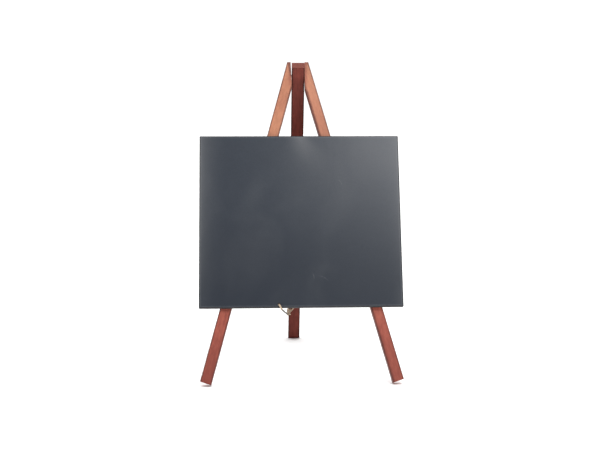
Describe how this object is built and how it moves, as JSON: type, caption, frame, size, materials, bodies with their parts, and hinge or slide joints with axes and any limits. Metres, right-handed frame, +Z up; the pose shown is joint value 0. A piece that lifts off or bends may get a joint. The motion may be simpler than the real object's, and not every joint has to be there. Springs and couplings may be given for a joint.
{
  "type": "tabletop display easel",
  "caption": "Tabletop A-frame display easel of stained wood with a slate-grey chalkboard panel, a hinged rear leg and a cord that limits its spread.",
  "frame": {"origin": "centre of the object's box, on the ground between the feet", "axes": "+Z up; -Y the way the panel faces; +X to the right of someone facing the panel"},
  "size_m": [0.151, 0.1642, 0.2366],
  "materials": {
    "front_leg_wood": "satin stain",
    "rear_leg_wood": "satin stain",
    "slate_paint": "matte chalkboard paint",
    "pin_steel": "dull",
    "brad_steel": "dull",
    "cord_yarn": "twisted cord"
  },
  "bodies": {
    "frame": {"left_front_leg": "front_leg_wood", "right_front_leg": "front_leg_wood", "chalkboard_panel": "slate_paint", "pivot_pin": "pin_steel", "panel_brads": "brad_steel", "spread_cord": "cord_yarn"},
    "rear_leg": {"rear_leg": "rear_leg_wood"}
  },
  "joints": [
    {"name": "rear_leg_fold", "type": "hinge", "parent": "frame", "child": "rear_leg", "pos_m": [0, -0.00572, 0.22568], "axis": [-1, 0, 0], "range_deg": [0, 38.5], "deforming": ["spread_cord"]}
  ]
}
